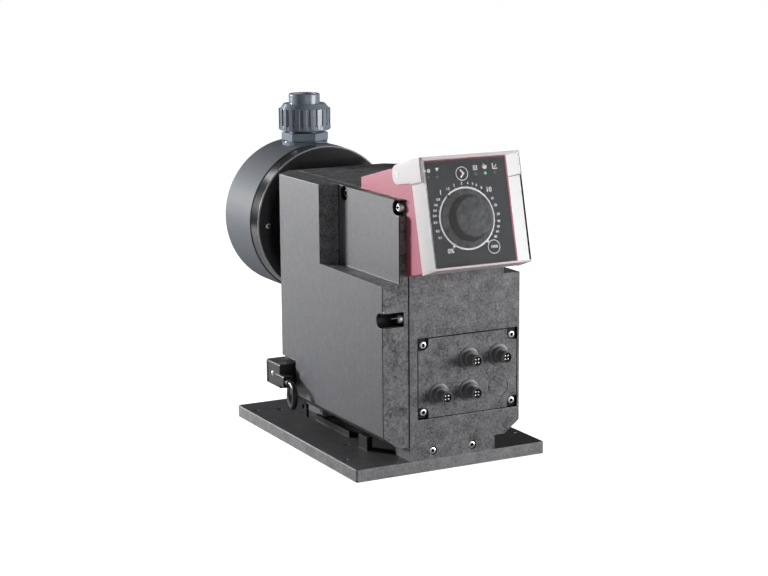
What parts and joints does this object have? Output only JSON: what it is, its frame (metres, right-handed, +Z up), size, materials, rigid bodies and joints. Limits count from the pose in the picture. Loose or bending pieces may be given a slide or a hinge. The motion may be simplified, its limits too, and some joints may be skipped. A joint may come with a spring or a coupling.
{
  "type": "diaphragm metering pump",
  "caption": "Chemical dosing pump: tall plastic drive housing on a base plate, tilted control panel under a clear flap, round dosing head with union valves",
  "frame": {"origin": "centre of the base plate's corner hole pattern, on the underside of the plate", "axes": "+X to the right for someone facing the controls, +Y to the rear where the dosing head is, +Z up"},
  "size_m": [0.2257, 0.5039, 0.3456],
  "materials": {
    "housing_plastic": "fine-grained moulded, matte",
    "plate_plastic": "fine-grained moulded, matte",
    "red_plastic": "smooth satin",
    "panel_film": "printed film, satin",
    "knob_plastic": "satin",
    "lens": "clear, glossy",
    "clear_plastic": "clear polycarbonate, glossy",
    "screw_steel": "bright zinc plated",
    "gasket_rubber": "matte",
    "connector_plastic": "satin",
    "insert_plastic": "satin with tinned pins",
    "steel": "ground",
    "electronics": "solder mask, satin",
    "flange_plastic": "turned, satin",
    "head_pvc": "turned, satin",
    "valve_pvc": "moulded, semi-gloss",
    "ceramic": "polished",
    "gear_plastic": "cut, matte",
    "motor_paint": "satin",
    "cast_aluminium": "cast, matte",
    "inlet_plastic": "satin",
    "lead_rubber": "satin"
  },
  "bodies": {
    "pump": {"drive_housing": "housing_plastic", "side_cover": "housing_plastic", "connection_plate": "housing_plastic", "base_plate": "plate_plastic", "control_case": "red_plastic", "control_panel": "panel_film", "indicator_lenses": "lens", "side_cover_screws": "screw_steel", "foot_screws": "screw_steel", "connection_plate_screws": "screw_steel", "connector_screw": "screw_steel", "flange_screws": "screw_steel", "head_bolts": "screw_steel", "connection_gasket": "gasket_rubber", "discharge_valve_seal": "gasket_rubber", "suction_valve_seal": "gasket_rubber", "diaphragm": "gasket_rubber", "signal_connector_1": "connector_plastic", "signal_connector_2": "connector_plastic", "signal_connector_3": "connector_plastic", "signal_connector_4": "connector_plastic", "connector_insert_1": "insert_plastic", "connector_insert_2": "insert_plastic", "connector_insert_3": "insert_plastic", "connector_insert_4": "insert_plastic", "cover_hinge_pins": "steel", "shaft_bearings": "steel", "control_board": "electronics", "knob_encoder": "electronics", "drive_flange": "flange_plastic", "dosing_head": "head_pvc", "discharge_valve_body": "valve_pvc", "discharge_pipe_tail": "valve_pvc", "suction_valve_body": "valve_pvc", "suction_pipe_tail": "valve_pvc", "stepper_motor": "motor_paint", "drive_frame": "cast_aluminium", "mains_inlet": "inlet_plastic", "mains_connector": "inlet_plastic", "mains_lead": "lead_rubber", "mains_lead_coil": "lead_rubber", "mains_lead_tail": "lead_rubber", "lead_strain_relief": "lead_rubber", "wall_plug": "lead_rubber", "lead_ties": "lead_rubber"},
    "knob": {"adjustment_knob": "knob_plastic", "knob_shaft": "steel"},
    "cover": {"clear_cover": "clear_plastic"},
    "mode_button": {"mode_key": "knob_plastic"},
    "full_capacity_button": {"full_capacity_key": "knob_plastic"},
    "discharge_nut": {"discharge_union_nut": "valve_pvc"},
    "suction_nut": {"suction_union_nut": "valve_pvc"},
    "discharge_ball": {"discharge_valve_ball": "ceramic"},
    "suction_ball": {"suction_valve_ball": "ceramic"},
    "eccentric": {"eccentric_shaft": "steel", "drive_gear": "gear_plastic"},
    "pinion": {"motor_pinion": "steel"},
    "plunger": {"push_rod": "steel", "diaphragm_core": "steel"}
  },
  "joints": [
    {"name": "knob_turn", "type": "hinge", "parent": "pump", "child": "knob", "pos_m": [0, -0.1748, 0.2544], "axis": [0, -0.972, 0.2351], "range_deg": [-185, 100]},
    {"name": "cover_flip", "type": "hinge", "parent": "pump", "child": "cover", "pos_m": [0, -0.13203, 0.29508], "axis": [-1, 0, 0], "range_deg": [0, 110]},
    {"name": "mode_key_press", "type": "slide", "parent": "pump", "child": "mode_button", "axis": [0, 0.972, -0.2351], "range_m": [0, 0.0006], "stiffness_N_per_m": 400, "springref_m": -0.0005},
    {"name": "full_capacity_key_press", "type": "slide", "parent": "pump", "child": "full_capacity_button", "axis": [0, 0.972, -0.2351], "range_m": [0, 0.0006], "stiffness_N_per_m": 400, "springref_m": -0.0005},
    {"name": "discharge_nut_turn", "type": "hinge", "parent": "pump", "child": "discharge_nut", "pos_m": [0, 0.1835, 0.32], "axis": [0, 0, 1], "continuous": true},
    {"name": "suction_nut_turn", "type": "hinge", "parent": "pump", "child": "suction_nut", "pos_m": [0, 0.1835, 0.1], "axis": [0, 0, 1], "continuous": true},
    {"name": "discharge_ball_lift", "type": "slide", "parent": "pump", "child": "discharge_ball", "axis": [0, 0, 1], "range_m": [0, 0.0042]},
    {"name": "suction_ball_lift", "type": "slide", "parent": "pump", "child": "suction_ball", "axis": [0, 0, 1], "range_m": [0, 0.0042]},
    {"name": "eccentric_turn", "type": "hinge", "parent": "pump", "child": "eccentric", "pos_m": [0, 0.0225, 0.2098], "axis": [1, 0, 0], "continuous": true},
    {"name": "pinion_turn", "type": "hinge", "parent": "pump", "child": "pinion", "pos_m": [0, 0.0225, 0.15565], "axis": [1, 0, 0], "continuous": true},
    {"name": "plunger_stroke", "type": "slide", "parent": "pump", "child": "plunger", "axis": [0, 1, 0], "range_m": [-0.003, 0.003]}
  ],
  "couplings": [
    {"joint": "pinion_turn", "follows": "eccentric_turn", "ratio": -5}
  ]
}
